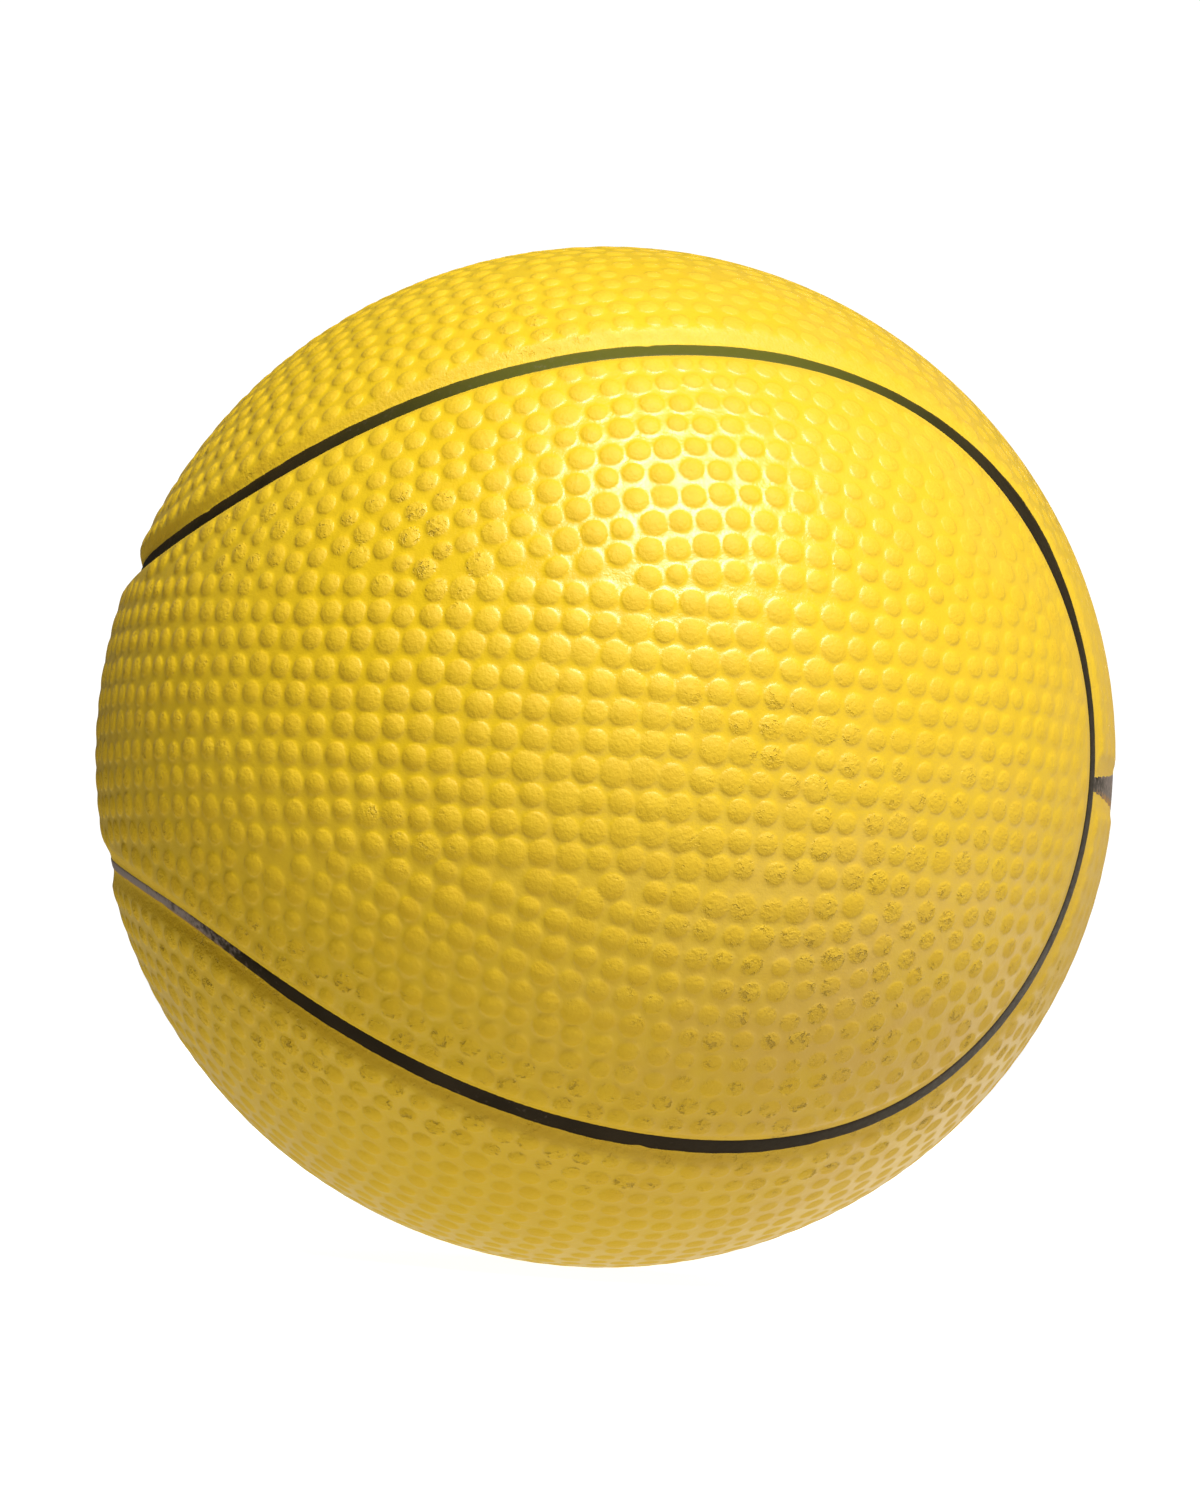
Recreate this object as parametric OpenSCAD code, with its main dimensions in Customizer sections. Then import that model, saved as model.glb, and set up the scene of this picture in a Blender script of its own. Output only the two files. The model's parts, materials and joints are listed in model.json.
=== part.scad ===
// Foam stress ball with basketball-style moulded channels.
// Millimetres, +Z up. The origin is the centre of the ball.
// The blank front panel faces -Y, and the channels' two narrow necks lie at -X and +X.

/* [Ball] */
// Diameter of the ball over its skin
ball_d = 63; // [45:1:90]
// Thickness of the dense moulded skin over the soft foam core
skin_t = 1.5; // [1.2:0.1:3]

/* [Channels] */
// Width of the moulded channel that parts two panels
channel_w = 3.4; // [2.6:0.1:4.5]
// Depth of the channel below the skin
channel_depth = 0.65; // [0.3:0.05:0.8]
// Width of the painted strip of skin along the bottom of each channel
line_w = 1.2; // [0.8:0.1:1.6]

/* [Seam] */
// How far the seam swings away from a plain circle as it goes round
seam_swing = 0.40; // [0.36:0.01:0.42]
// How far the seam climbs towards the two necks
seam_climb = 0.745; // [0.66:0.005:0.8]
// How much the seam's lobes are squared up
seam_square = 0.055; // [0:0.005:0.07]
// Straight facets along the seam of one lobe
seam_steps = 60; // [36:4:72]

/* [Hidden] */

skin_yellow = [0.95, 0.78, 0.15];
foam_yellow = [0.93, 0.82, 0.38];
line_black = [0.10, 0.09, 0.08];

ball_r = ball_d / 2;
core_r = ball_r - skin_t;
floor_r = ball_r - channel_depth;
half_channel = channel_w / 2;
half_line = line_w / 2;
// A cutter's outer points lie this far out, so that its flat cap clears the ball
reach = 3 * ball_r;
// The lobe's cutter runs this far past the narrowest points of its neck, as an angle along the seam
overrun = 8;
// Step used to take the seam's direction
tangent_step = 0.5;

function unit(v) = v / norm(v);

// A point of the seam as a direction from the centre. At 0 degrees the seam crosses the front
// lobe's end by the +X neck, and at -90 and 90 it is at the narrowest points of the -X neck.
function seam(a) =
    let (
        t = a - 45,
        u = (1 - seam_swing) * cos(t) + seam_swing * cos(3 * t),
        v = (1 - seam_swing) * sin(t) - seam_swing * sin(3 * t),
        w = seam_climb * sin(2 * t) + seam_square * sin(6 * t)
    )
    unit([-w, (v - u) / sqrt(2), (u + v) / sqrt(2)]);

// The same point moved sideways over the sphere, towards the middle of the front lobe
function inset_seam(a, inset) =
    let (
        here = seam(a),
        along = unit(seam(a + tangent_step) - seam(a - tangent_step)),
        inward = unit(cross(here, along))
    )
    unit(here + tan(inset / ball_r * 180 / PI) * inward);

// Solid cone from the ball's centre over the front lobe, its side set in from the seam
module lobe_cone(inset) {
    span = 90 + overrun;
    rim = [for (i = [0 : seam_steps]) reach * inset_seam(-span + 2 * span * i / seam_steps, inset)];
    count = len(rim);
    tip = count;
    cap = count + 1;
    polyhedron(
        points = concat(rim, [[0, 0, 0], [0, -reach, 0]]),
        faces = concat(
            [for (i = [0 : count - 1]) [i, (i + 1) % count, tip]],
            [for (i = [0 : count - 1]) [(i + 1) % count, i, cap]]
        )
    );
}

// Everything in front of the plane of the centre line, less half a strip's width
module front_space(inset) {
    translate([-reach, -reach - inset, -reach]) cube([2 * reach, reach, 2 * reach]);
}

// Everything above the plane of the cross line, less half a strip's width
module upper_space(inset) {
    translate([-reach, -reach, inset]) cube([2 * reach, 2 * reach, reach]);
}

// A slab that holds a strip of the given half width on each side of the centre line's plane
module centre_slab(half) {
    translate([-reach, -half, -reach]) cube([2 * reach, 2 * half, 2 * reach]);
}

// The same for the cross line, on the side of the +X neck only
module cross_slab(half) {
    translate([0, -reach, -half]) cube([reach, 2 * reach, 2 * half]);
}

// One layer of the front lobe's panel
module front_layer(radius, inset) {
    intersection() {
        sphere(r = radius, $fn = 96);
        lobe_cone(inset);
        front_space(inset);
    }
}

// One layer of the panel above the front lobe, up to the centre line and the cross line
module upper_front_layer(radius, inset) {
    difference() {
        intersection() {
            sphere(r = radius, $fn = 96);
            front_space(inset);
            upper_space(inset);
        }
        lobe_cone(-inset);
    }
}

module blank_panel() {
    color(skin_yellow) difference() {
        union() {
            front_layer(ball_r, half_channel);
            front_layer(floor_r, half_line);
        }
        sphere(r = core_r, $fn = 96);
    }
}

module quarter_panel() {
    color(skin_yellow) difference() {
        union() {
            upper_front_layer(ball_r, half_channel);
            upper_front_layer(floor_r, half_line);
        }
        sphere(r = core_r, $fn = 96);
    }
}

// The shell that every painted strip is cut from, between the core and the channel's floor
module line_shell() {
    difference() {
        sphere(r = floor_r, $fn = 96);
        sphere(r = core_r, $fn = 96);
    }
}

module front_seam_strip() {
    difference() {
        intersection() {
            line_shell();
            front_space(0);
            lobe_cone(-half_line);
        }
        lobe_cone(half_line);
    }
}

module foam_core() {
    color(foam_yellow) sphere(r = core_r, $fn = 96);
}

module front_panel() { blank_panel(); }

module back_panel() { mirror([0, 1, 0]) blank_panel(); }

module upper_front_panel() { quarter_panel(); }

module upper_back_panel() { mirror([0, 1, 0]) quarter_panel(); }

module lower_front_panel() { mirror([0, 0, 1]) quarter_panel(); }

module lower_back_panel() { mirror([0, 0, 1]) mirror([0, 1, 0]) quarter_panel(); }

module seam_line() {
    color(line_black) union() {
        front_seam_strip();
        mirror([0, 1, 0]) front_seam_strip();
    }
}

// The part of the centre line above the plane of the cross line
module upper_centre_strip() {
    difference() {
        intersection() {
            line_shell();
            centre_slab(half_line);
            upper_space(0);
        }
        lobe_cone(-half_line);
    }
}

// The long stretch of the centre line, over the top, across the +X neck and under the ball
module centre_line() {
    color(line_black) union() {
        upper_centre_strip();
        mirror([0, 0, 1]) upper_centre_strip();
    }
}

// The short stretch of the centre line, across the -X neck
module neck_line() {
    color(line_black) intersection() {
        line_shell();
        centre_slab(half_line);
        lobe_cone(half_line);
    }
}

// The cross line runs over the +X neck, from the seam to the centre line
module front_cross_line() {
    color(line_black) difference() {
        intersection() {
            line_shell();
            cross_slab(half_line);
            front_space(half_line);
        }
        lobe_cone(-half_line);
    }
}

module back_cross_line() { mirror([0, 1, 0]) front_cross_line(); }

foam_core();
front_panel();
back_panel();
upper_front_panel();
upper_back_panel();
lower_front_panel();
lower_back_panel();
seam_line();
centre_line();
neck_line();
front_cross_line();
back_cross_line();
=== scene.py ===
"""Foam stress ball with a pebbled skin, moulded channels and painted lines.

The skin panels are cut from one fine mesh of the sphere, so that they meet edge to edge under the
painted lines. Lengths are in millimetres until a mesh is written, and the mesh is in metres.
"""

import json
import math

import bpy
import numpy as np
from mathutils import Matrix, Vector
from mathutils.kdtree import KDTree


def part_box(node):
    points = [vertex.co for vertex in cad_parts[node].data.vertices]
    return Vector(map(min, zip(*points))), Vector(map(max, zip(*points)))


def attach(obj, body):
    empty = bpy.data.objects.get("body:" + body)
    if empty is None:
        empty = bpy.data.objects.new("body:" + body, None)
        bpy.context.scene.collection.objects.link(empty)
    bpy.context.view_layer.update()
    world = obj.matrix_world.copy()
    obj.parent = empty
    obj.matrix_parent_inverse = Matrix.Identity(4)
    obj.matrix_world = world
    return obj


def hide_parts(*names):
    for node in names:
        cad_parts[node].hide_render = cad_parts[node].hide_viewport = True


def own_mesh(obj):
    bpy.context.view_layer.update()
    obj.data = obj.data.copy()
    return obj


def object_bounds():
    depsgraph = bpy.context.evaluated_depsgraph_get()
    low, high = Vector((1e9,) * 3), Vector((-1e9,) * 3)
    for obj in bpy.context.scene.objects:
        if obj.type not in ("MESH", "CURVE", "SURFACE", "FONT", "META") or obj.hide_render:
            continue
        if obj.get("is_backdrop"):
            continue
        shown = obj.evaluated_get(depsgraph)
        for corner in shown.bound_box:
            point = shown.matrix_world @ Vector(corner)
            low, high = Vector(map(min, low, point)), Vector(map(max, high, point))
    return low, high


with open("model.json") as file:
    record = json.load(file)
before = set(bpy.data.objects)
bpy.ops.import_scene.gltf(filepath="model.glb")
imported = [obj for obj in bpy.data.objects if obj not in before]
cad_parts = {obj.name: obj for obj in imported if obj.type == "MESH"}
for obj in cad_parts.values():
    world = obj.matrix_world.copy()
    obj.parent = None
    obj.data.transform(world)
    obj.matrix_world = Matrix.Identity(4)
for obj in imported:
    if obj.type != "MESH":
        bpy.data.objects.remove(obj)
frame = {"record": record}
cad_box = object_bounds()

MM = 0.001


def box_mm(node):
    """A CAD node's lowest and highest corners, in millimetres."""
    low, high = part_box(node)
    return np.array(low) / MM, np.array(high) / MM


# ------------------------------------------------------------------ sizes, in millimetres
BALL_R = -box_mm("front_panel")[0][1]
CORE_R = -box_mm("foam_core")[0][2]
FLOOR_R = -box_mm("neck_line")[0][0]
LINE_HALF = box_mm("neck_line")[1][1]

# The seam's shape, as in part.scad
SEAM_SWING = 0.40
SEAM_CLIMB = 0.745
SEAM_SQUARE = 0.055

PITCH = 1.64  # from pebble to pebble
PEBBLE_R = 0.77
RELIEF = 0.17  # height of a full pebble over the valleys
BAND = 7.6  # half the height of the band of straight rows along the front and back lobes
MARGIN = 2.30  # from a line's centre to the nearest pebble's centre
MARGIN_SLACK = 0.05  # how much nearer one may come
MARGIN_DROP = 0.13  # how far the smooth margin by a channel lies under the pebbles' tops

FLOOR_HALF = 0.48  # half the flat width of a full channel's floor
SHOULDER = 1.85  # from a line's centre to the top of a full channel's shoulder
INNER = 0.80  # the seam channel's width inside the front and back lobes, against a full one
OUTER = 0.77  # its width outside them, away from the top
OUTER_TOP = 1.08  # and at the top
SHALLOWER = 0.40  # how much shallower the channels are towards +X
SHALLOWER_LEFT = 0.28  # and low on the left

PAINT_T = 0.045  # how far the paint stands over the channel's floor
PAINT_ROOT = 0.15  # how far it reaches into the skin
CORE_GAP = 0.02  # between the core and the panels' inner faces

# Regions of the ball: the direction of each one's middle, and its spread in radians
WIDE_CHANNEL = ((0.15, -0.45, 0.88), 0.55)
BROAD_PEBBLES = ((0.08, -0.98, -0.12), 0.52)
WORN_RIGHT = ((0.65, -0.60, -0.48), 0.45)
WORN_LEFT = ((-0.62, -0.25, -0.72), 0.50)
CRUMBLED_RIGHT = ((0.55, -0.68, -0.45), 0.40)
CRUMBLED_LEFT = ((-0.80, -0.55, 0.02), 0.35)
# Where tan is painted on the skin: partly dust, and partly a painted pale reflection of the surroundings at
# grazing angles
DUST_REFLECTION_RIGHT = ((0.62, -0.56, -0.55), 0.55)
DUST_REFLECTION_LEFT = ((-0.66, -0.30, -0.68), 0.42)
DUST_REFLECTION_TOP = ((0.60, -0.20, 0.77), 0.60)
# Where an olive highlight is painted on the lines, under the key light
OLIVE_HIGHLIGHT = ((0.10, -0.60, 0.79), 0.52)
FINE_PAINT = ((0.05, -0.65, 0.75), 0.55)
HEAVY_PAINT = ((0.80, -0.33, 0.50), 0.24)

CELLS = 280  # mesh cells along each of the sphere's six faces
SEAM_SAMPLES = 1800
RING_SAMPLES = 720
FAR = 1e3  # stands for a distance that doesn't count


# ------------------------------------------------------------------ directions on the sphere
def unit(v):
    """Vectors brought to length 1."""
    return v / np.linalg.norm(v, axis=-1, keepdims=True)


def seam_direction(angle):
    """Points of the seam for angles in degrees, as directions from the ball's centre."""
    t = np.radians(angle - 45.0)
    u = (1 - SEAM_SWING) * np.cos(t) + SEAM_SWING * np.cos(3 * t)
    v = (1 - SEAM_SWING) * np.sin(t) - SEAM_SWING * np.sin(3 * t)
    w = SEAM_CLIMB * np.sin(2 * t) + SEAM_SQUARE * np.sin(6 * t)
    return unit(np.stack([-w, (v - u) / math.sqrt(2), (u + v) / math.sqrt(2)], axis=-1))


def seam_frame(angle):
    """Points of the seam, and the direction towards the front and back lobes at each."""
    here = seam_direction(angle)
    along = unit(seam_direction(angle + 0.1) - seam_direction(angle - 0.1))
    return here, unit(np.cross(here, along))


def even_seam():
    """Evenly spaced angles of the seam, with its points and inward directions there."""
    angle = np.linspace(0, 360, 8 * SEAM_SAMPLES + 1)
    point = seam_direction(angle)
    run = np.r_[0, np.cumsum(np.linalg.norm(np.diff(point, axis=0), axis=1))]
    angle = np.interp(np.linspace(0, run[-1], SEAM_SAMPLES, endpoint=False), run, angle)
    return angle, *seam_frame(angle)


SEAM_ANGLE, SEAM, INWARD = even_seam()


def nearest_seam(d):
    """For each direction, its signed distance from the seam and the nearest sample's number.

    The distance is positive in the front and back lobes and negative in the upper and lower ones.
    """
    nearest = np.empty(len(d), int)
    samples = SEAM.T.astype(np.float32)
    batch = 20000
    for first in range(0, len(d), batch):
        part = slice(first, first + batch)
        nearest[part] = (d[part].astype(np.float32) @ samples).argmax(1)
    side = np.einsum("ij,ij->i", d, INWARD[nearest])
    near = BALL_R * np.arccos(np.clip(np.einsum("ij,ij->i", d, SEAM[nearest]), -1, 1))
    step = BALL_R * np.linalg.norm(SEAM[1] - SEAM[0])
    exact = BALL_R * np.arcsin(np.clip(side, -1, 1))
    return np.where(near < 3 * step, exact, np.sign(side) * near), nearest


def bump_at(d, centre, spread):
    """1 at a place on the sphere, falling to 0 over about the given angle in radians."""
    return np.exp(-((np.arccos(np.clip(d @ unit(np.array(centre, float)), -1, 1)) / spread) ** 2))


def channel_width(d, inner):
    """The seam channel's width at each direction against a full one, on its inner or its outer side."""
    return np.where(inner, INNER, OUTER + (OUTER_TOP - OUTER) * bump_at(d, *WIDE_CHANNEL))


def line_distances(d, seam):
    """Distance of each direction from the seam, the centre line and the cross line.

    The distance from the seam is scaled, so that its narrower channel can be shaped as a full one.
    """
    centre = BALL_R * np.arcsin(np.clip(np.abs(d[:, 1]), 0, 1))
    cross = BALL_R * np.arcsin(np.clip(np.abs(d[:, 2]), 0, 1))
    cross = np.where((seam < 0) & (d[:, 0] > 0), cross, FAR)
    return np.stack([np.abs(seam) / channel_width(d, seam > 0), centre, cross])


def smooth(x, low, high):
    """0 below low, 1 above high, and an S curve between."""
    t = np.clip((x - low) / (high - low), 0, 1)
    return t * t * (3 - 2 * t)


def wavy(d, scale, seed):
    """Smooth noise over the sphere, about -1 to 1, with waves of about the given length."""
    rng = np.random.default_rng(seed)
    total = np.zeros(len(d))
    waves = 9
    for _ in range(waves):
        way = unit(rng.normal(size=3)) * 2 * math.pi * BALL_R / scale * rng.uniform(0.6, 1.4)
        total += np.sin(d @ way + rng.uniform(0, 2 * math.pi))
    return total / math.sqrt(waves)


def upper_right(d):
    """How far each direction leans to the upper right."""
    return d[:, 2] * 0.7 + d[:, 0] * 0.5


def tree_of(points):
    """A tree that finds the points near a place."""
    tree = KDTree(len(points))
    for n, p in enumerate(points):
        tree.insert(p, n)
    tree.balance()
    return tree


# ------------------------------------------------------------------ pebbles
def spread(path, rng):
    """Points about a pebble's pitch apart along a closed path of directions."""
    path = np.vstack([path, path[:1]])
    run = np.r_[0, np.cumsum(np.linalg.norm(np.diff(path, axis=0), axis=1))] * BALL_R
    count = int(run[-1] / PITCH)
    if count < 1:
        return path[:0]
    at = (np.arange(count) + rng.uniform()) * run[-1] / count
    wander = 0.10
    at = (at + rng.normal(scale=wander, size=count)) % run[-1]
    return unit(np.stack([np.interp(at, run, path[:, k]) for k in range(3)], axis=-1))


def straight_row(axis, height, rng):
    """A row all the way round the ball, at a fixed height along one axis."""
    turn = np.linspace(0, 2 * math.pi, RING_SAMPLES, endpoint=False)
    lift = height / BALL_R
    across = math.cos(lift) * np.column_stack([np.cos(turn), np.sin(turn)])
    return spread(np.insert(across, axis, math.sin(lift), axis=1), rng)


def seam_row(inset, rng):
    """A row that follows the seam at a distance from each of its samples, inwards if positive."""
    return spread(unit(SEAM + np.tan(inset / BALL_R)[:, None] * INWARD), rng)


def rows_by_planes(rng):
    """The rows on each side of the centre line (axis 1) and the cross line (axis 2)."""
    for axis in (1, 2):
        for height in (-MARGIN, MARGIN):
            yield straight_row(axis, height, rng)


def candidate_rows(rng):
    """Rows of pebble centres in the order that they claim their places."""
    heights = (np.arange(int(BAND / PITCH) + 1) + 0.5) * PITCH
    for height in np.r_[heights, -heights]:
        row = straight_row(2, height, rng)
        seam, _ = nearest_seam(row)
        yield row[(seam > MARGIN) & (abs(height) < BAND)]
    spare, slack = 0.10, 0.02
    for k in range(18):
        for sign in (1, -1):
            row = seam_row(sign * (MARGIN * channel_width(SEAM, sign > 0) + spare + k * PITCH), rng)
            seam, _ = nearest_seam(row)
            keep = np.abs(seam) > MARGIN * channel_width(row, sign > 0) + k * PITCH - slack
            if sign > 0:
                keep &= np.abs(row[:, 2]) * BALL_R > BAND
            yield row[keep]
        if k == 0:
            yield from rows_by_planes(rng)


def clear_of_lines(d):
    """Whether a pebble at each direction stays off the channels' margins."""
    seam, _ = nearest_seam(d)
    return line_distances(d, seam).min(0) >= MARGIN - MARGIN_SLACK


def place_pebbles(seed):
    """Pebble centres all over the ball: rows first, then whatever fits in the gaps, then eased apart."""
    rng = np.random.default_rng(seed)
    placed = np.zeros((0, 3))
    room = 0.80 * PITCH
    for row in candidate_rows(rng):
        row = row[clear_of_lines(row)]
        if len(placed):
            gap = BALL_R * np.arccos(np.clip((row @ placed.T).max(1), -1, 1))
            row = row[gap > room]
        kept = []
        for point in row:
            if all(np.dot(q, point) <= math.cos(room / BALL_R) for q in kept[-40:]):
                kept.append(point)
        if kept:
            placed = np.vstack([placed, kept])
    for share in (0.84, 0.74):
        placed = fill_gaps(ease_apart(placed), share * PITCH, rng)
    wander = 0.06
    placed = ease_apart(placed)
    return unit(placed + rng.normal(scale=wander / BALL_R, size=placed.shape))


def fill_gaps(points, room, rng):
    """Adds pebbles wherever one fits at least room away from the others."""
    rounds, tries = 12, 4000
    for _ in range(rounds):
        row = unit(rng.normal(size=(tries, 3)))
        row = row[(row @ points.T).max(1) < math.cos(room / BALL_R)]
        row = row[clear_of_lines(row)]
        for point in row:
            if (points @ point).max() < math.cos(room / BALL_R):
                points = np.vstack([points, point])
    return points


def ease_apart(points):
    """Moves pebbles that stand too close a little apart, and back off the channels' margins."""
    rounds, neighbours, share = 5, 6, 0.28
    for _ in range(rounds):
        tree = tree_of(points)
        push = np.zeros_like(points)
        for n, p in enumerate(points):
            for q, m, gap in tree.find_n(p, neighbours + 1):
                if m != n and gap * BALL_R < PITCH:
                    push[n] += (p - np.array(q)) / gap * (PITCH / BALL_R - gap) * share
        moved = unit(points + push)
        points = np.where(clear_of_lines(moved)[:, None], moved, points)
    return points


PEBBLES = place_pebbles(seed=7)


def pebble_sizes(rng):
    """Radius of each pebble: broad in the middle of the front and back lobes, and wherever there is room."""
    closest = np.sort(PEBBLES @ PEBBLES.T, axis=1)[:, -4:-1]
    room = np.clip(BALL_R * np.arccos(closest).mean(1) / PITCH, 0.80, 1.10)
    forward = np.column_stack([PEBBLES[:, 0], -np.abs(PEBBLES[:, 1]), PEBBLES[:, 2]])
    broad = 1 + 0.27 * bump_at(forward, *BROAD_PEBBLES)
    return PEBBLE_R * room * broad * rng.normal(1.0, 0.07, len(PEBBLES))


def pebble_relief(d):
    """For each direction: the pebbles' height there, 0 in the valleys to 1, and the pebble's own tint.

    A pebble is a soft dome, drawn in a little along a direction of its own so that it isn't quite round.
    """
    rng = np.random.default_rng(11)
    size = pebble_sizes(rng)
    tall = rng.normal(1.0, 0.10, len(PEBBLES))
    tint = rng.uniform(size=len(PEBBLES))
    pinch = unit(rng.normal(size=(len(PEBBLES), 3))) * rng.uniform(0, 0.14, (len(PEBBLES), 1))
    overlapping = 3
    tree = tree_of(PEBBLES)
    nearest = np.array([[found[1] for found in tree.find_n(p, overlapping)] for p in d])
    height = np.zeros(len(d))
    for n in nearest.T:
        offset = (d - PEBBLES[n]) * BALL_R / size[n, None]
        along = np.einsum("ij,ij->i", offset, pinch[n])
        t = np.linalg.norm(offset + along[:, None] * pinch[n] * 6, axis=1)
        height = np.maximum(height, tall[n] * np.clip(1 - t**2.2, 0, None) ** 1.3)
    return height, tint[nearest[:, 0]]


def relief_depth(d):
    """How tall the pebbles are: low by the mould's parting plane, and worn low in several regions."""
    parting = 0.15 + 0.85 * smooth(np.abs(d[:, 1]), 0.05, 0.52)
    worn = 1 - 0.50 * smooth(d[:, 0], 0.35, 0.95)
    worn *= 1 - 0.85 * smooth(upper_right(d), 0.47, 0.80)
    worn *= 1 - 0.45 * smooth(-d[:, 2], 0.50, 0.85)
    worn *= 1 - 0.60 * bump_at(d, *WORN_RIGHT)
    worn *= 1 - 0.50 * bump_at(d, *WORN_LEFT)
    uneven = 1 + 0.10 * wavy(d, 16, 3)
    return RELIEF * parting * worn * uneven


def crumble(d, seam):
    """Where the pebbles' tops are pitted, 0 to 1: patches, two regions and the rows by the lower seam."""
    patches = smooth(wavy(d, 20, 9), 0.2, 1.2) * 0.7
    patches *= 1 - 0.85 * smooth(upper_right(d), 0.35, 0.60)
    lower_right = bump_at(d, *CRUMBLED_RIGHT)
    left = 0.6 * bump_at(d, *CRUMBLED_LEFT)
    by_seam = np.exp(-(((np.abs(seam) - 3.0) / 1.8) ** 2)) * smooth(-d[:, 2], 0.2, 0.5)
    return np.clip(np.maximum.reduce([patches, lower_right, left, by_seam]), 0, 1)


def dust_and_reflection_mask(d):
    """Where the skin is painted tan, 0 to 1: partly dust, and partly a painted pale reflection of the
    surroundings at grazing angles. Along the right, most of all low down, and low left.
    """
    lower_right = bump_at(d, *DUST_REFLECTION_RIGHT)
    lower_left = 0.4 * bump_at(d, *DUST_REFLECTION_LEFT)
    side = 0.6 * smooth(d[:, 0], 0.75, 1.0)
    top = 0.55 * bump_at(d, *DUST_REFLECTION_TOP)
    return np.maximum.reduce([lower_right, lower_left, side, top])


def skin_radius(d, away, height):
    """Radius of the skin: valleys and pebbles on the panels, and the channel's section by the lines."""
    panel = BALL_R - relief_depth(d) * (1 - height)
    margin = BALL_R - MARGIN_DROP
    top = margin + (panel - margin) * smooth(away, SHOULDER - 0.50, SHOULDER + 0.20)
    low_left = smooth(-d[:, 0], 0.60, 0.95) * smooth(-d[:, 2], 0.02, 0.20)
    floor = FLOOR_R + SHALLOWER * smooth(d[:, 0], 0.05, 0.75) + SHALLOWER_LEFT * low_left
    return floor + (top - floor) * smooth(away, FLOOR_HALF, SHOULDER)


# ------------------------------------------------------------------ meshes
def new_object(name, verts, faces, layers=None):
    """A smooth-shaded mesh object. verts are in millimetres; layers are named values at its vertices."""
    mesh = bpy.data.meshes.new(name)
    mesh.from_pydata((np.asarray(verts) * MM).tolist(), [], faces)
    for key, values in (layers or {}).items():
        attribute = mesh.attributes.new(key, "FLOAT", "POINT")
        attribute.data.foreach_set("value", np.asarray(values, np.float32))
    mesh.polygons.foreach_set("use_smooth", np.ones(len(mesh.polygons), bool))
    mesh.update()
    piece = bpy.data.objects.new(name, mesh)
    bpy.context.scene.collection.objects.link(piece)
    return piece


def sphere_grid():
    """Directions and quads of a sphere made of a cube's six gridded faces, welded along their edges."""
    line = np.tan(np.linspace(-math.pi / 4, math.pi / 4, CELLS + 1))
    u, v = np.meshgrid(line, line, indexing="ij")
    u, v, one = u.ravel(), v.ravel(), np.ones(u.size)
    faces = [(one, u, v), (-one, v, u), (v, one, u), (u, -one, v), (u, v, one), (v, u, -one)]
    corners = unit(np.concatenate([np.stack(f, axis=-1) for f in faces]))
    i, j = np.meshgrid(np.arange(CELLS), np.arange(CELLS), indexing="ij")
    a = (i * (CELLS + 1) + j).ravel()
    quad = np.stack([a, a + CELLS + 1, a + CELLS + 2, a + 1], axis=-1)
    quads = np.concatenate([quad + k * (CELLS + 1) ** 2 for k in range(6)])
    _, first, weld = np.unique(np.round(corners, 7), axis=0, return_index=True, return_inverse=True)
    return corners[first], weld.ravel()[quads]


def boundary_loop(quads):
    """The vertices round a patch's edge, in order."""
    edges = np.concatenate([quads[:, [k, (k + 1) % 4]] for k in range(4)])
    key = np.sort(edges, axis=1)
    _, index, count = np.unique(key, axis=0, return_index=True, return_counts=True)
    following = {int(a): int(b) for a, b in edges[index[count == 1]]}
    start = next(iter(following))
    loop = [start]
    while following[loop[-1]] != start:
        loop.append(following[loop[-1]])
    return np.array(loop)


def largest_patch(quads):
    """The quads that hang together with the most others, by shared vertices."""
    label = np.arange(quads.max() + 1)
    while True:
        low = label[quads].min(1)
        before = label.copy()
        np.minimum.at(label, quads.ravel(), np.repeat(low, 4))
        label = label[label]
        if (label == before).all():
            break
    values, counts = np.unique(label[quads[:, 0]], return_counts=True)
    return quads[label[quads[:, 0]] == values[counts.argmax()]]


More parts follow.
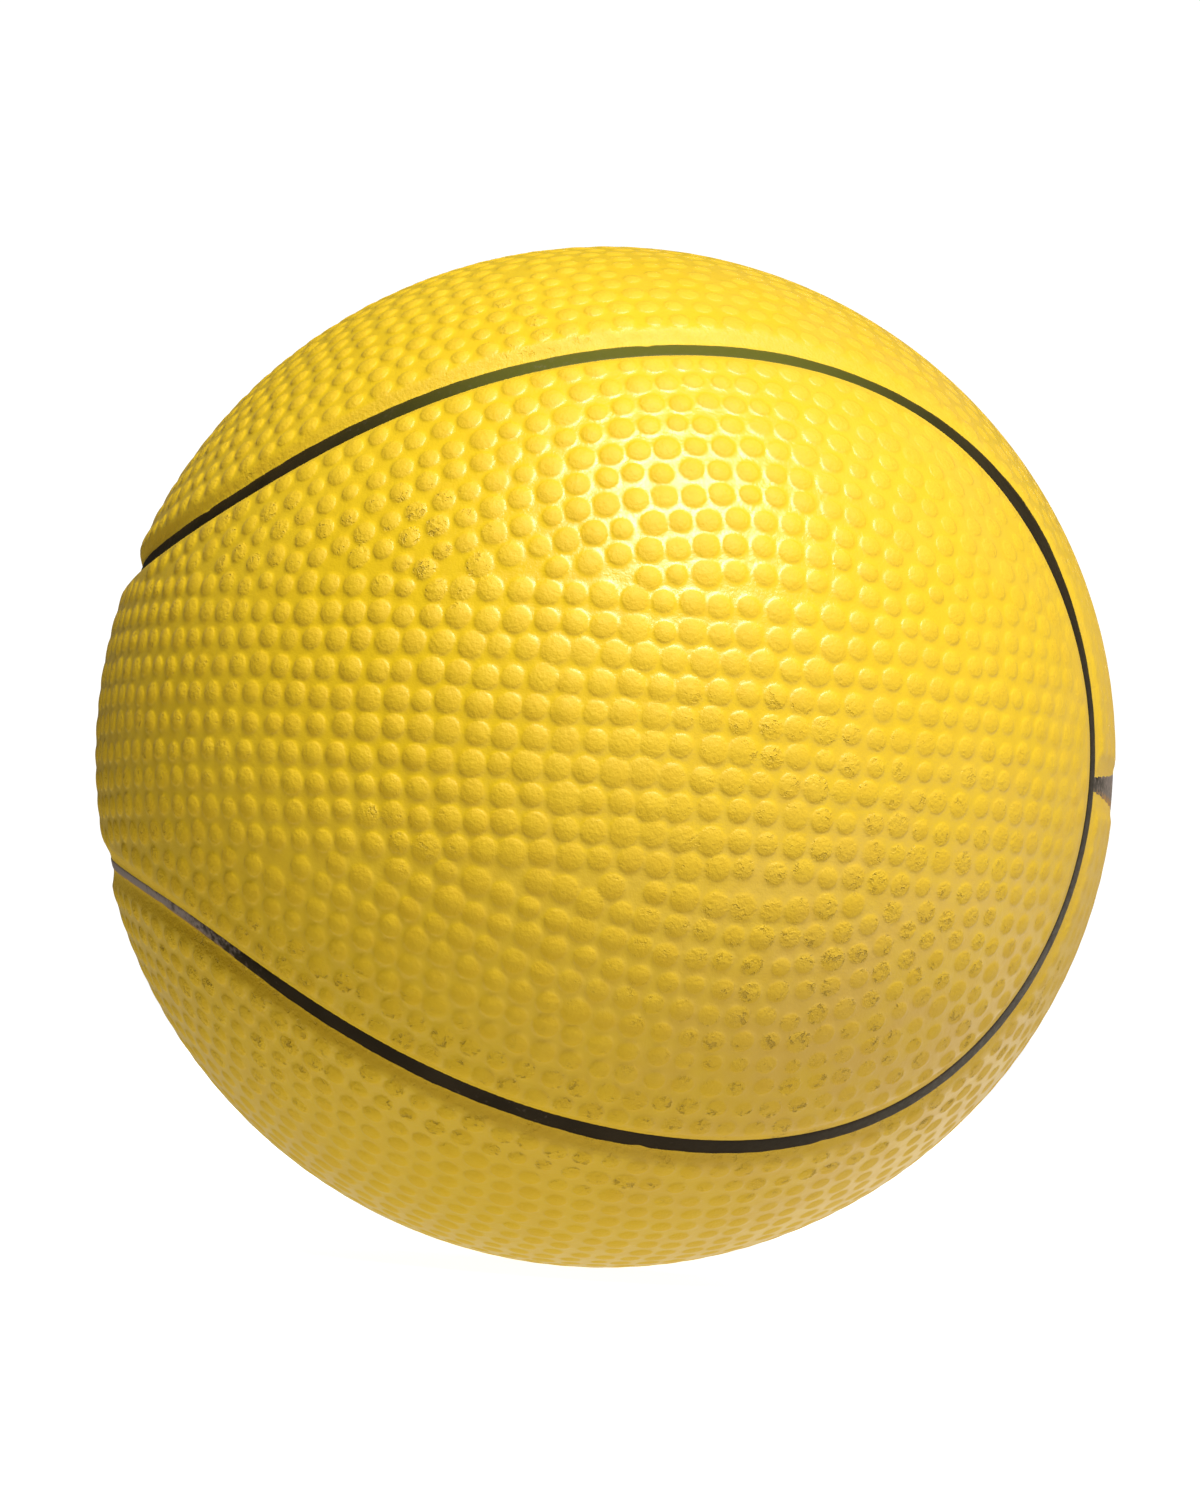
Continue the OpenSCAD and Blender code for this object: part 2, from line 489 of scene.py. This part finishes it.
class Skin:
    """The whole skin's surface, which the panels are cut from."""

    def __init__(self):
        self.d, self.quads = sphere_grid()
        self.seam, self.near = nearest_seam(self.d)
        self.lines = line_distances(self.d, self.seam)
        self.height, self.tint = pebble_relief(self.d)

    def panel(self, inside, middle):
        """Verts, quads and layers of the panel where inside is true, with its edge on the lines.

        A wall goes from the edge down to the core, and an inner face closes it round middle.
        """
        quads = largest_patch(self.quads[inside[self.quads].all(1)])
        loop = boundary_loop(quads)
        used, quads = np.unique(quads, return_inverse=True)
        quads = quads.reshape(-1, 4)
        rim = np.searchsorted(used, loop)
        d = self.d[used].copy()
        d[rim] = self.onto_lines(loop)
        seam, _ = nearest_seam(d)
        away = line_distances(d, seam).min(0)
        radius = skin_radius(d, away, self.height[used])
        outer = d * radius[:, None]
        inner, inner_faces = self.inner_face(d[rim], rim, len(outer), middle)
        on_panel = smooth(away, SHOULDER - 0.50, SHOULDER + 0.10)
        on_panel *= 1 - 0.80 * smooth(d[:, 0], 0.78, 0.93)
        smooth_skin = 0.40
        hidden = np.zeros(len(inner))
        layers = {
            "pebble": np.r_[smooth_skin + (self.height[used] - smooth_skin) * on_panel, hidden],
            "tint": np.r_[self.tint[used], hidden + 0.5],
            "crumble": np.r_[crumble(d, seam), hidden],
            # tan painted on the skin, partly dust and partly a painted pale reflection
            "dust_and_reflection": np.r_[dust_and_reflection_mask(d), hidden],
        }
        return np.vstack([outer, inner]), quads.tolist() + inner_faces, layers

    def onto_lines(self, loop):
        """The directions of a patch's edge vertices, moved sideways onto the nearest line.

        A vertex by a crossing is moved onto the crossing line too.
        """
        d = self.d[loop].copy()
        which = self.lines[:, loop].argmin(0)
        at = self.near[loop]
        on_seam = which == 0
        side = np.einsum("ij,ij->i", d, INWARD[at])
        d[on_seam] -= (side[:, None] * INWARD[at])[on_seam]
        d[which == 1, 1] = 0
        d[which == 2, 2] = 0
        cell = BALL_R * math.pi / 2 / CELLS
        to_seam, to_centre, to_cross = self.lines[:, loop]
        corner = np.sort(self.lines[:, loop], axis=0)[1] < 1.5 * cell
        d[corner & on_seam & (to_centre < to_cross), 1] = 0
        d[corner & on_seam & (to_centre > to_cross), 2] = 0
        d[corner & ~on_seam & (to_seam > np.maximum(to_centre, to_cross)), 1:] = 0
        return unit(d)

    def inner_face(self, rim_d, rim, first, middle):
        """Rings of vertices from the rim's foot to the middle of the panel, just off the core.

        rim holds the numbers of the rim's vertices, and first is the number of the first new one.
        """
        rings = 10
        middle = unit(np.array(middle, float))
        verts, faces = [], []
        before = rim
        count = len(rim)
        for k in range(rings):
            d = unit(rim_d * (1 - k / rings) + middle * (k / rings))
            here = first + k * count + np.arange(count)
            verts.append(d * (CORE_R + CORE_GAP))
            faces += np.stack([np.roll(before, -1), before, here, np.roll(here, -1)], axis=-1).tolist()
            before = here
        verts.append(middle[None] * (CORE_R + CORE_GAP))
        tip = first + rings * count
        faces += [[int(b), int(a), tip] for a, b in zip(before, np.roll(before, -1))]
        return np.vstack(verts), faces


def build_panels(skin):
    """The six panels, each replacing its CAD node."""
    front, upper, lobe = skin.d[:, 1] < 0, skin.d[:, 2] > 0, skin.seam > 0
    panels = {
        "front_panel": (lobe & front, (0, -1, 0)),
        "back_panel": (lobe & ~front, (0, 1, 0)),
        "upper_front_panel": (~lobe & front & upper, (-0.1, -0.35, 0.93)),
        "upper_back_panel": (~lobe & ~front & upper, (-0.1, 0.35, 0.93)),
        "lower_front_panel": (~lobe & front & ~upper, (-0.1, -0.35, -0.93)),
        "lower_back_panel": (~lobe & ~front & ~upper, (-0.1, 0.35, -0.93)),
    }
    return {
        node: new_object(node + "_skin", *skin.panel(inside, middle))
        for node, (inside, middle) in panels.items()
    }


# ------------------------------------------------------------------ painted lines
def ribbon(name, centre, side, half, closed, fade):
    """A painted ribbon along a path: directions at its centre, its sideways directions and half widths.

    half is an (n, 2) array, one width for each side. fade is 0 for fresh paint to 1 for worn grey.
    The ribbon's top follows the channel's floor and dips into it at the edges. Its root lies in the skin.
    """
    across = np.linspace(-1, 1, 11)
    ways, columns = [], []
    for u in across:
        width = np.where(u < 0, half[:, 0], half[:, 1]) * u
        d = unit(centre + np.tan(width / BALL_R)[:, None] * side)
        seam, _ = nearest_seam(d)
        away = line_distances(d, seam).min(0)
        floor = skin_radius(d, away, np.zeros(len(d)))
        ways.append(d)
        columns.append(d * (floor + PAINT_T * (1 - 1.5 * abs(u) ** 6))[:, None])
    columns += [d * (FLOOR_R - PAINT_ROOT) for d in ways[::-2]]
    rows, around = len(centre), len(columns)
    verts = np.stack(columns, axis=1).reshape(-1, 3)
    faces = []
    for i in range(rows if closed else rows - 1):
        a, b = i * around, (i + 1) % rows * around
        for j in range(around):
            k = (j + 1) % around
            faces.append((a + j, b + j, b + k, a + k))
    if not closed:
        faces.append(tuple(range(around - 1, -1, -1)))
        faces.append(tuple((rows - 1) * around + j for j in range(around)))
    layers = {
        "fade": np.repeat(fade, around),
        "outer": np.tile(np.r_[-across, -across[::-2]], rows),
        # where the paint is turned olive as a painted highlight
        "olive_highlight": np.repeat(bump_at(centre, *OLIVE_HIGHLIGHT), around),
    }
    return new_object(name, verts, faces, layers)


def brush_edge(count, seed, amount):
    """An uneven edge along count samples: slow waver, finer wobble and a few nicks."""
    rng = np.random.default_rng(seed)
    at = np.arange(count)
    edge = np.zeros(count)
    wobbles = ((5, 1.0), (13, 0.7), (37, 0.45), (110, 0.3), (260, 0.22))  # waves, and how strong
    for waves, weight in wobbles:
        edge += weight * np.sin(2 * math.pi * (waves + rng.integers(3)) * at / count + rng.uniform(0, 6.3))
    nicks = max(2, count // 260)
    for _ in range(nicks):
        middle, width = rng.integers(count), rng.uniform(2, 5)
        edge -= rng.uniform(1, 3.2) * np.exp(-(((at - middle) / width) ** 2))
    return amount * edge


def seam_ribbon():
    """The seam's painted line: fine along the top of the front lobe, heavy past it, worn thin lower left."""
    count = 2 * len(SEAM)
    angle = np.interp(np.arange(count) / count * len(SEAM), np.arange(len(SEAM) + 1), np.r_[SEAM_ANGLE, 360])
    here, side = seam_frame(angle)
    lower_left = smooth(-here[:, 2], 0.0, 0.15) * smooth(-here[:, 1], -0.40, 0.05)
    lower_left *= smooth(-here[:, 0], 0.30, 0.92)
    weight = 1.04 - 0.06 * bump_at(here, *FINE_PAINT) - 0.45 * lower_left
    heavy = bump_at(here, *HEAVY_PAINT)
    outer = LINE_HALF * (weight + 1.15 * heavy) + brush_edge(count, 21, 0.034)
    inner = LINE_HALF * (weight + 0.30 * heavy) + brush_edge(count, 22, 0.014)
    fade = 0.9 * smooth(lower_left, 0.10, 1.0) + 0.10 * smooth(wavy(here, 14, 5), 0.3, 1.2)
    return ribbon("seam_line_paint", here, side, np.stack([outer, inner], axis=-1), True, fade)


def plane_ribbon(name, start, stop, axis, half_ends, fade_ends, seed):
    """A painted ribbon along a great circle, from one angle to another in degrees.

    The circle is in the plane of Y = 0 (axis 1) or Z = 0 (axis 2), and angle 0 is at +X.
    """
    step = 0.08
    count = int(math.radians(abs(stop - start)) * BALL_R / step)
    turn = np.radians(np.linspace(start, stop, count))
    centre = np.zeros((count, 3))
    centre[:, 0] = np.cos(turn)
    centre[:, 3 - axis] = np.sin(turn)
    side = np.zeros((count, 3))
    side[:, axis] = 1
    along = np.linspace(0, 1, count)
    base = half_ends[0] + (half_ends[1] - half_ends[0]) * along
    half = np.stack([base + brush_edge(count, seed + k, 0.035) for k in range(2)], axis=-1)
    fade = fade_ends[0] + (fade_ends[1] - fade_ends[0]) * along
    return ribbon(name, centre, side, half, False, fade)


def seam_crossing(axis):
    """Angle in the plane of Y = 0 (axis 1) or Z = 0 (axis 2) at which the seam crosses it."""
    low, high = (90.0, 180.0) if axis == 1 else (0.0, 90.0)
    halvings = 40
    for _ in range(halvings):
        middle = (low + high) / 2
        d = np.zeros((1, 3))
        d[0, 0] = math.cos(math.radians(middle))
        d[0, 3 - axis] = math.sin(math.radians(middle))
        in_lobe = nearest_seam(d)[0][0] > 0
        if in_lobe:
            high = middle
        else:
            low = middle
    return low


def build_lines():
    """The painted lines, each replacing its CAD node. The others stop a little short of where they cross."""
    gap = math.degrees(0.45 * LINE_HALF / BALL_R)
    before_neck = seam_crossing(1) - gap
    past_neck = before_neck + 2 * gap
    at_lobe = seam_crossing(2) - gap
    full = (LINE_HALF * 0.95, LINE_HALF)
    bleed = (LINE_HALF * 2.1, LINE_HALF * 0.75)
    lines = {
        "centre_line": (-before_neck, before_neck, 1, full, (0.10, 0.10), 31),
        "neck_line": (past_neck, 360 - past_neck, 1, full, (0.20, 0.10), 41),
        "front_cross_line": (-gap, -at_lobe, 2, bleed, (0.90, 0.35), 51),
        "back_cross_line": (gap, at_lobe, 2, bleed, (0.40, 0.20), 61),
    }
    made = {"seam_line": seam_ribbon()}
    for cad_node, shape in lines.items():
        made[cad_node] = plane_ribbon(cad_node + "_paint", *shape)
    return made


# ------------------------------------------------------------------ the core
def build_core():
    """The soft core: a ball with the open cells of cut foam on its surface."""
    bpy.ops.mesh.primitive_ico_sphere_add(subdivisions=6, radius=1)
    source = bpy.context.object
    d = unit(np.array([v.co for v in source.data.vertices]))
    faces = [tuple(p.vertices) for p in source.data.polygons]
    bpy.data.objects.remove(source)
    rng = np.random.default_rng(5)
    cells = unit(rng.normal(size=(900, 3)))
    nearest = np.sort(np.arccos(np.clip(d @ cells.T, -1, 1)), axis=1)[:, :2]
    inside_cell = smooth(nearest[:, 1] - nearest[:, 0], 0.0, 0.03)
    clearance, cell_depth = 0.05, 0.35
    radius = CORE_R - clearance - cell_depth * inside_cell
    return new_object("foam_core_foam", d * radius[:, None], faces, {"cell": inside_cell})


# ------------------------------------------------------------------ materials
def material(name):
    """A new material, its node tree and its shader."""
    made = bpy.data.materials.new(name)
    made.use_nodes = True
    tree = made.node_tree
    return made, tree, tree.nodes["Principled BSDF"]


def node(tree, kind, **settings):
    """A shader node. Settings that start with p_ are its own properties, and the others fill its inputs.

    An input goes by its name, or by i and its number. It is filled by a value or by another node's output.
    """
    made = tree.nodes.new(kind)
    for key, value in settings.items():
        if key.startswith("p_"):
            setattr(made, key[2:], value)
        else:
            socket = made.inputs[int(key[1:])] if key[0] == "i" and key[1:].isdigit() else made.inputs[key]
            if isinstance(value, bpy.types.NodeSocket):
                tree.links.new(value, socket)
            else:
                socket.default_value = value
    return made


def layer(tree, name):
    """The mesh's named value at each vertex."""
    made = node(tree, "ShaderNodeAttribute", p_attribute_name=name, p_attribute_type="GEOMETRY")
    return made.outputs["Fac"]


def noise(tree, where, scale, detail=3.0, rough=0.5):
    """Cloudy noise about 0.5, with about scale features to a metre."""
    made = node(tree, "ShaderNodeTexNoise", Vector=where, Scale=scale, Detail=detail, Roughness=rough)
    return made.outputs["Fac"]


def ramp(tree, value, low, high, to_low=0.0, to_high=1.0):
    """value from low..high mapped to to_low..to_high with a smooth step."""
    made = node(
        tree,
        "ShaderNodeMapRange",
        p_interpolation_type="SMOOTHSTEP",
        Value=value,
        i1=low,
        i2=high,
        i3=to_low,
        i4=to_high,
    )
    return made.outputs["Result"]


def maths(tree, operation, a, b):
    """Two numbers added, subtracted or multiplied."""
    return node(tree, "ShaderNodeMath", p_operation=operation, i0=a, i1=b).outputs[0]


def mixed(tree, factor, a, b):
    """Colour a where the factor is 0, and colour b where it is 1."""
    made = node(tree, "ShaderNodeMix", p_data_type="RGBA", i0=factor, i6=a, i7=b)
    return made.outputs[2]


def skin_material():
    """Satin foam skin: smooth pale valleys, and matte, more saturated pebble tops with fine pits. Tan is
    painted on it, partly dust and partly a painted pale reflection, and the pits are painted dark as painted
    shade.
    """
    made, tree, shader = material("foam_skin")
    where = node(tree, "ShaderNodeTexCoord").outputs["Object"]
    pebble = layer(tree, "pebble")
    top = ramp(tree, pebble, 0.0, 0.60)

    patches = ramp(tree, noise(tree, where, 70.0, 3.0), 0.35, 0.65)
    valley = mixed(tree, patches, (0.87, 0.580, 0.010, 1), (0.90, 0.605, 0.016, 1))
    crown = mixed(tree, patches, (0.85, 0.555, 0.004, 1), (0.88, 0.580, 0.007, 1))
    crown = mixed(tree, ramp(tree, layer(tree, "tint"), 0.0, 1.0, 0.0, 0.35), crown, (0.81, 0.510, 0.003, 1))
    colour = mixed(tree, top, valley, crown)
    # Tan painted over the skin, most in the valleys: partly dust, and partly a painted pale reflection of
    # the bright surroundings at grazing angles
    dust_and_reflection = maths(tree, "MULTIPLY", layer(tree, "dust_and_reflection"), ramp(tree, top, 0.1, 1.0, 0.52, 0.26))
    dust_and_reflection = maths(tree, "MULTIPLY", dust_and_reflection, ramp(tree, noise(tree, where, 330.0, 4.0), 0.35, 0.68, 0.35, 1.1))
    colour = mixed(tree, dust_and_reflection, colour, (0.78, 0.49, 0.13, 1))
    mottle = noise(tree, where, 900.0, 4.0)
    colour = mixed(tree, ramp(tree, mottle, 0.40, 0.72, 0.0, 0.22), colour, (0.78, 0.46, 0.003, 1))

    grit = noise(tree, where, 2100.0, 3.0, 0.65)
    crumbs = noise(tree, where, 700.0, 1.0)
    reach = maths(tree, "MULTIPLY", layer(tree, "crumble"), ramp(tree, crumbs, 0.38, 0.60))
    reach = maths(tree, "MULTIPLY", reach, ramp(tree, pebble, 0.05, 0.50))
    # The pits are painted dark, as painted shade in them; the bump below sinks them too
    pit = maths(tree, "MULTIPLY", ramp(tree, grit, 0.55, 0.66), reach)
    colour = mixed(tree, maths(tree, "MULTIPLY", pit, 0.50), colour, (0.34, 0.20, 0.006, 1))
    tree.links.new(colour, shader.inputs["Base Color"])

    rough = ramp(tree, top, 0.0, 1.0, 0.32, 0.66)
    rough = maths(tree, "ADD", rough, ramp(tree, mottle, 0.3, 0.7, -0.03, 0.05))
    tree.links.new(rough, shader.inputs["Roughness"])
    shader.inputs["Specular IOR Level"].default_value = 0.62
    shader.inputs["Sheen Weight"].default_value = 0.05
    shader.inputs["Sheen Roughness"].default_value = 0.4
    shader.inputs["Sheen Tint"].default_value = (1.0, 0.80, 0.70, 1)

    grain = noise(tree, where, 5200.0, 3.0, 0.6)
    blister = noise(tree, where, 2300.0, 2.0, 0.5)
    blisters = maths(tree, "MULTIPLY", blister, ramp(tree, top, 0.0, 1.0, 0.25, 0.70))
    height = maths(tree, "MULTIPLY", grain, ramp(tree, top, 0.0, 1.0, 0.32, 0.60))
    height = maths(tree, "ADD", height, blisters)
    broken = maths(tree, "MULTIPLY", maths(tree, "SUBTRACT", grit, 0.5), reach)
    height = maths(tree, "ADD", height, maths(tree, "MULTIPLY", broken, 4.0))
    height = maths(tree, "SUBTRACT", height, maths(tree, "MULTIPLY", pit, 2.0))
    bump = node(tree, "ShaderNodeBump", Strength=0.8, Distance=0.00009, Height=height)
    tree.links.new(bump.outputs["Normal"], shader.inputs["Normal"])
    return made


def paint_material():
    """Flexible satin black paint: olive along the top of the front lobe as a painted highlight, and grey
    with a tan fringe where it is worn.
    """
    made, tree, shader = material("line_paint")
    where = node(tree, "ShaderNodeTexCoord").outputs["Object"]
    grain = noise(tree, where, 2600.0, 4.0, 0.65)
    wear = maths(tree, "ADD", layer(tree, "fade"), ramp(tree, grain, 0.2, 0.8, -0.35, 0.35))
    thin = ramp(tree, noise(tree, where, 300.0, 3.0), 0.3, 0.7)
    ink = mixed(tree, thin, (0.017, 0.012, 0.004, 1), (0.028, 0.020, 0.008, 1))
    # A painted highlight: the paint is turned olive along the top of the front lobe, where the key light's
    # reflection falls
    olive_highlight = ramp(tree, layer(tree, "olive_highlight"), 0.05, 0.95, 0.0, 0.85)
    ink = mixed(tree, olive_highlight, ink, (0.132, 0.134, 0.016, 1))
    colour = mixed(tree, ramp(tree, wear, 0.20, 0.95), ink, (0.33, 0.27, 0.24, 1))
    fringe = maths(tree, "MULTIPLY", ramp(tree, layer(tree, "outer"), 0.35, 0.8), ramp(tree, wear, 0.3, 0.7))
    colour = mixed(tree, fringe, colour, (0.48, 0.25, 0.05, 1))
    tree.links.new(colour, shader.inputs["Base Color"])
    tree.links.new(ramp(tree, grain, 0.3, 0.7, 0.36, 0.52), shader.inputs["Roughness"])
    shader.inputs["Specular IOR Level"].default_value = 0.20
    shader.inputs["Specular Tint"].default_value = (1.0, 0.82, 0.78, 1)
    bump = node(tree, "ShaderNodeBump", Strength=0.5, Distance=0.00003, Height=grain)
    tree.links.new(bump.outputs["Normal"], shader.inputs["Normal"])
    return made


def foam_material():
    """Soft inner foam: pale cell walls, and open cells painted darker as painted shade in them."""
    made, tree, shader = material("core_foam")
    where = node(tree, "ShaderNodeTexCoord").outputs["Object"]
    cell = layer(tree, "cell")
    fine = noise(tree, where, 1800.0, 4.0, 0.6)
    # The open cells, sunk into the core, are painted darker as painted shade
    colour = mixed(tree, ramp(tree, cell, 0.1, 0.9), (0.85, 0.66, 0.16, 1), (0.62, 0.42, 0.06, 1))
    colour = mixed(tree, ramp(tree, fine, 0.4, 0.7, 0.0, 0.4), colour, (0.50, 0.33, 0.05, 1))
    tree.links.new(colour, shader.inputs["Base Color"])
    shader.inputs["Roughness"].default_value = 0.9
    bump = node(tree, "ShaderNodeBump", Strength=0.8, Distance=0.0001, Height=fine)
    tree.links.new(bump.outputs["Normal"], shader.inputs["Normal"])
    return made


# ------------------------------------------------------------------ the object
def add_piece(piece, cad_node, body, look):
    """Makes a piece stand for its CAD node, with its material, and ride with its body. The CAD node is
    hidden.
    """
    piece.data.materials.append(look)
    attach(piece, body)
    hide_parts(cad_node)
    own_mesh(piece)


def build_ball():
    """All twelve pieces, each on its node's body."""
    bodies = frame["record"]["behaviour"]["bodies"]
    body_of = {cad_node: body for body, cad_nodes in bodies.items() for cad_node in cad_nodes}
    skin_look, paint_look, foam_look = skin_material(), paint_material(), foam_material()
    for cad_node, piece in build_panels(Skin()).items():
        add_piece(piece, cad_node, body_of[cad_node], skin_look)
    for cad_node, piece in build_lines().items():
        add_piece(piece, cad_node, body_of[cad_node], paint_look)
    core = build_core()
    add_piece(core, "foam_core", body_of["foam_core"], foam_look)


# ------------------------------------------------------------------ floor, light and camera
def build_floor():
    """A large pale floor under the ball."""
    half = 4.0
    z = -BALL_R * MM
    mesh = bpy.data.meshes.new("floor")
    corners = [(-half, -half, z), (half, -half, z), (half, half, z), (-half, half, z)]
    mesh.from_pydata(corners, [], [(0, 1, 2, 3)])
    floor = bpy.data.objects.new("floor", mesh)
    bpy.context.scene.collection.objects.link(floor)
    made, tree, shader = material("floor_white")
    where = node(tree, "ShaderNodeTexCoord").outputs["Object"]
    tone = mixed(tree, noise(tree, where, 8.0), (0.90, 0.90, 0.90, 1), (0.93, 0.93, 0.93, 1))
    tree.links.new(tone, shader.inputs["Base Color"])
    shader.inputs["Roughness"].default_value = 0.9
    shader.inputs["Emission Color"].default_value = (1, 1, 1, 1)
    shader.inputs["Emission Strength"].default_value = 0.94
    mesh.materials.append(made)
    floor.visible_diffuse = False
    floor.visible_glossy = False
    floor.visible_shadow = False
    floor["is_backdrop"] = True


def patch(tree, way, toward, strength):
    """A soft round patch of light in a direction."""
    middle = Vector(toward).normalized()
    nearness = node(tree, "ShaderNodeVectorMath", p_operation="DOT_PRODUCT", i0=way, i1=middle)
    return ramp(tree, nearness.outputs["Value"], 0.84, 0.98, 0.0, strength)


def build_world():
    """A dim room with a bright table under the ball and a bright wall to its right, and a white backdrop.

    The table is brightest behind the ball on the right, and darkest on the left and by the ball's foot.
    """
    world = bpy.data.worlds.new("studio")
    bpy.context.scene.world = world
    world.use_nodes = True
    tree = world.node_tree
    way = node(tree, "ShaderNodeTexCoord").outputs["Generated"]
    parts = node(tree, "ShaderNodeSeparateXYZ", Vector=way)
    table = ramp(tree, parts.outputs["Z"], 0.05, -0.32)
    table = maths(tree, "MULTIPLY", table, ramp(tree, parts.outputs["Z"], -0.35, -0.70, 1.12, 0.52))
    table = maths(tree, "MULTIPLY", table, ramp(tree, parts.outputs["X"], -0.9, 0.2, 0.15, 0.80))
    table = maths(tree, "ADD", table, patch(tree, way, (0.52, 0.80, -0.32), 0.40))
    wall = ramp(tree, parts.outputs["X"], 0.0, 0.80, 0.0, 0.22)
    wall = maths(tree, "MULTIPLY", wall, ramp(tree, parts.outputs["Z"], 0.45, -0.05, 0.7, 1.0))
    light = maths(tree, "ADD", maths(tree, "ADD", table, wall), 0.05)
    room = tree.nodes["Background"]
    tree.links.new(light, room.inputs["Strength"])
    room.inputs["Color"].default_value = (1, 0.93, 0.80, 1)
    backdrop = node(tree, "ShaderNodeBackground", Color=(1, 1, 1, 1), Strength=1.1)
    seen = node(tree, "ShaderNodeLightPath").outputs["Is Camera Ray"]
    both = node(tree, "ShaderNodeMixShader", i0=seen)
    tree.links.new(room.outputs[0], both.inputs[1])
    tree.links.new(backdrop.outputs[0], both.inputs[2])
    tree.links.new(both.outputs[0], tree.nodes["World Output"].inputs["Surface"])


def add_softbox(name, toward, distance, size, power):
    """A square area light in a direction from the ball, facing it, that the camera doesn't see."""
    light = bpy.data.lights.new(name, "AREA")
    light.shape = "SQUARE"
    light.size = size
    light.energy = power
    lamp = bpy.data.objects.new(name, light)
    way = Vector(toward).normalized()
    lamp.location = way * distance
    lamp.visible_camera = False
    lamp.rotation_mode = "QUATERNION"
    lamp.rotation_quaternion = way.to_track_quat("Z", "Y")
    bpy.context.scene.collection.objects.link(lamp)
    return lamp


def build_lights():
    """A key light over the front right, and two fills that leave no highlight: behind, and low left."""
    add_softbox("key_softbox", (0.21, -0.555, 0.785), 0.50, 0.205, 3.10)
    add_softbox("back_fill", (0.05, 1.0, 0.28), 0.60, 0.30, 1.2).visible_glossy = False
    add_softbox("low_left_fill", (-0.52, 0.0, -0.85), 0.50, 0.30, 0.80).visible_glossy = False


def build_camera():
    """A long lens slightly right of and below the ball's middle, tipped a little clockwise."""
    distance = 8.75 * BALL_R * MM
    azimuth, elevation, roll = math.radians(6.3), math.radians(-3.0), math.radians(4.4)
    fill = 0.681  # the ball's share of the picture's height
    sensor = 36.0
    camera = bpy.data.cameras.new("camera")
    camera.sensor_fit = "VERTICAL"
    camera.sensor_height = sensor
    camera.lens = sensor * fill / 2 * math.sqrt((distance / (BALL_R * MM)) ** 2 - 1)
    camera.shift_x = -0.0039
    camera.shift_y = 0.0047
    camera.clip_start = 0.01
    place = bpy.data.objects.new("camera", camera)
    level = math.cos(elevation)
    way = Vector((math.sin(azimuth) * level, -math.cos(azimuth) * level, math.sin(elevation)))
    turn = way.to_track_quat("Z", "Y").to_matrix() @ Matrix.Rotation(roll, 3, "Z")
    place.matrix_world = Matrix.Translation(way * distance) @ turn.to_4x4()
    bpy.context.scene.collection.objects.link(place)
    bpy.context.scene.camera = place


build_camera()
build_ball()
build_floor()
build_world()
build_lights()
bpy.context.scene.view_settings.view_transform = "Standard"

boxes = {"cad": cad_box, "visual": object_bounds()}
{key: [list(map(float, corner)) for corner in box] for key, box in boxes.items()}
